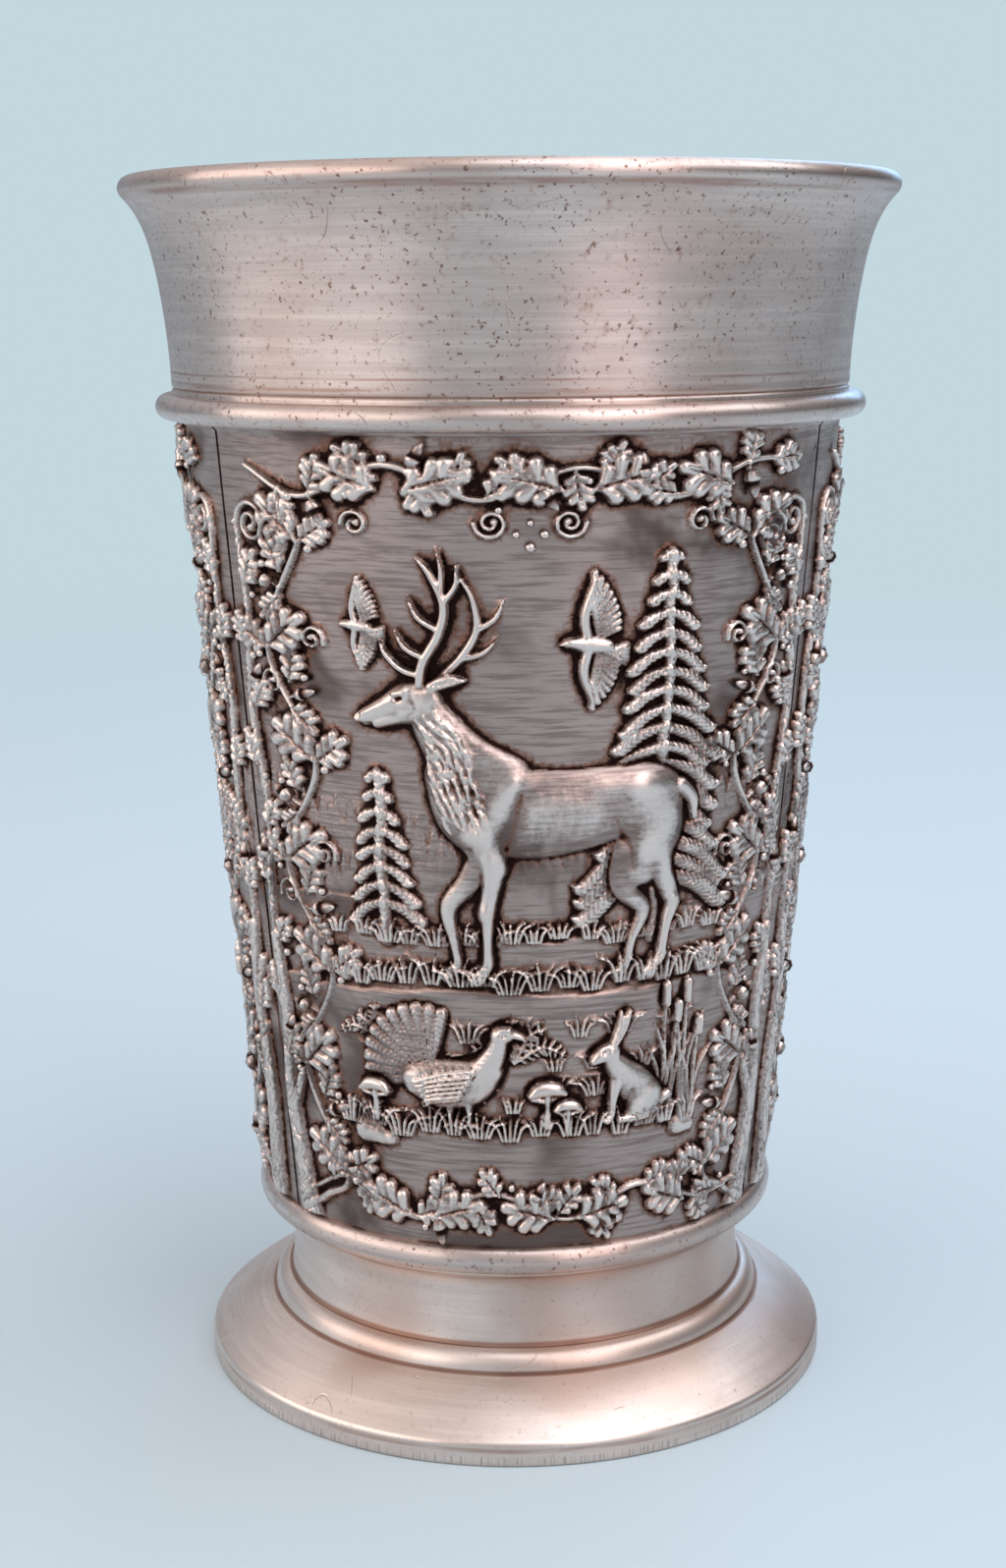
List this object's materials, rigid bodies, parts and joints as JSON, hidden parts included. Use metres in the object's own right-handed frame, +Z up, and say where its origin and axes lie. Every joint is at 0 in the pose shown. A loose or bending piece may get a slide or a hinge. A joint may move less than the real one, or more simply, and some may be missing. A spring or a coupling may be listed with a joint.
{
  "type": "footed beaker",
  "caption": "Tapering footed drinking cup with a smooth flared lip band, beads and cast relief panels round a plain liner.",
  "frame": {"origin": "centre of the foot's underside, on the surface that the cup stands on", "axes": "+Z up along the cup's axis; the front relief panel faces -Y; +X to the right seen from the front"},
  "size_m": [0.06, 0.06, 0.095],
  "materials": {
    "turned_pewter": "turned pewter with fine lathe lines, small pits and scratches",
    "foot_pewter": "satin turned pewter, brighter on the edges",
    "liner_pewter": "plain turned pewter, slightly dull from use",
    "relief_pewter": "cast pewter, dark patina in the hollows and rubbed bright on the high points",
    "solder": "soft solder, dull grey"
  },
  "bodies": {
    "root": {"lip_band": "turned_pewter", "upper_bead": "turned_pewter", "lower_bead": "turned_pewter", "foot": "foot_pewter", "liner": "liner_pewter", "floor_disc": "liner_pewter", "relief_panel_front": "relief_pewter", "relief_panel_right": "relief_pewter", "relief_panel_left": "relief_pewter", "panel_seams": "solder", "lap_solder": "solder", "floor_solder": "solder", "foot_solder": "solder"}
  },
  "joints": []
}
